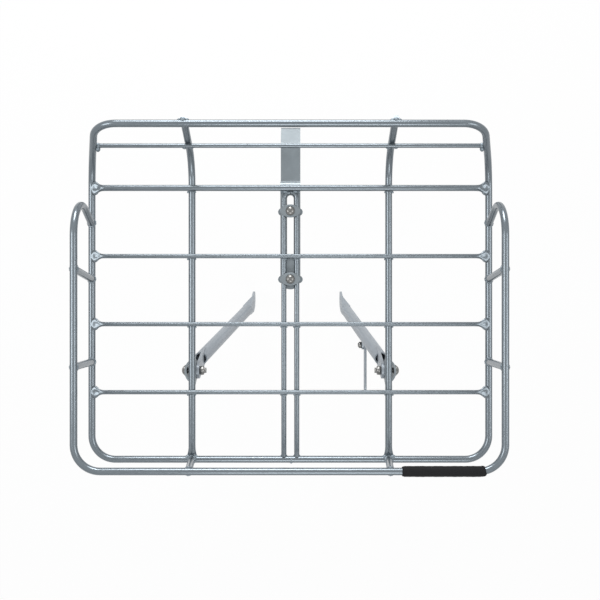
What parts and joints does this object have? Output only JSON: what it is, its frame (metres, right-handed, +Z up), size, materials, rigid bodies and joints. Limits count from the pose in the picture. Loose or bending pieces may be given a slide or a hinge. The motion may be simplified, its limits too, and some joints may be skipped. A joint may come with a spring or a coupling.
{
  "type": "bicycle front carrier",
  "caption": "Welded rod platform with a raised back and a gallery rail, a slotted mounting strap, and hinged tubular legs that fold under it.",
  "frame": {"origin": "centre of the bolt hole at the rear end of the mounting strap", "axes": "+X to the carrier's right as its rider sees it, +Y rearwards towards the rider, +Z up"},
  "size_m": [0.464, 0.3944, 0.4537],
  "materials": {
    "rod_steel": "bright silver metallic coat on steel rod",
    "plate_steel": "satin silver metallic coat on pressed steel plate",
    "leg_steel": "satin silver coat on steel tube with flattened ends",
    "zinc_fasteners": "bright zinc-plated steel",
    "sleeve_rubber": "matt black rubber with a lapped seam"
  },
  "bodies": {
    "strap": {"mounting_strap": "plate_steel", "front_clamp_plate": "plate_steel", "front_clamp_base": "plate_steel", "front_clamp_bolt": "zinc_fasteners", "front_clamp_nut": "zinc_fasteners"},
    "frame": {"main_loop": "rod_steel", "left_strut": "rod_steel", "right_strut": "rod_steel", "hairpin_rods": "rod_steel", "crossbar_1": "rod_steel", "crossbar_2": "rod_steel", "crossbar_3": "rod_steel", "bend_crossbar": "rod_steel", "back_crossbar": "rod_steel", "gallery_rail": "rod_steel", "left_front_post": "rod_steel", "left_side_post_front": "rod_steel", "left_side_post_rear": "rod_steel", "right_front_post": "rod_steel", "right_side_post_front": "rod_steel", "right_side_post_rear": "rod_steel", "rubber_sleeve": "sleeve_rubber", "left_lug": "plate_steel", "right_lug": "plate_steel", "left_pivot_bolt": "zinc_fasteners", "right_pivot_bolt": "zinc_fasteners", "pivot_washers": "zinc_fasteners", "left_pivot_nut": "zinc_fasteners", "right_pivot_nut": "zinc_fasteners"},
    "rear_clamp": {"rear_clamp_plate": "plate_steel", "rear_clamp_base": "plate_steel", "rear_clamp_bolt": "zinc_fasteners", "rear_clamp_nut": "zinc_fasteners"},
    "left_leg": {"left_leg": "leg_steel"},
    "right_leg": {"right_leg": "leg_steel", "lamp_screw": "zinc_fasteners", "lamp_nut": "zinc_fasteners"},
    "lamp_bracket": {"lamp_bracket": "leg_steel"}
  },
  "joints": [
    {"name": "frame_slide", "type": "slide", "parent": "strap", "child": "frame", "axis": [0, 1, 0], "range_m": [-0.008, 0.02]},
    {"name": "rear_clamp_slide", "type": "slide", "parent": "strap", "child": "rear_clamp", "axis": [0, 1, 0], "range_m": [-0.015, 0.004]},
    {"name": "left_leg_pivot", "type": "hinge", "parent": "frame", "child": "left_leg", "pos_m": [-0.109, -0.2878, 0.0512], "axis": [1, 0, 0], "range_deg": [-30, 70]},
    {"name": "right_leg_pivot", "type": "hinge", "parent": "frame", "child": "right_leg", "pos_m": [0.109, -0.2878, 0.0512], "axis": [1, 0, 0], "range_deg": [-30, 70]},
    {"name": "lamp_bracket_tilt", "type": "hinge", "parent": "right_leg", "child": "lamp_bracket", "pos_m": [0.09577, -0.2664, -0.10415], "axis": [1, 0, 0], "range_deg": [-45, 45]}
  ]
}
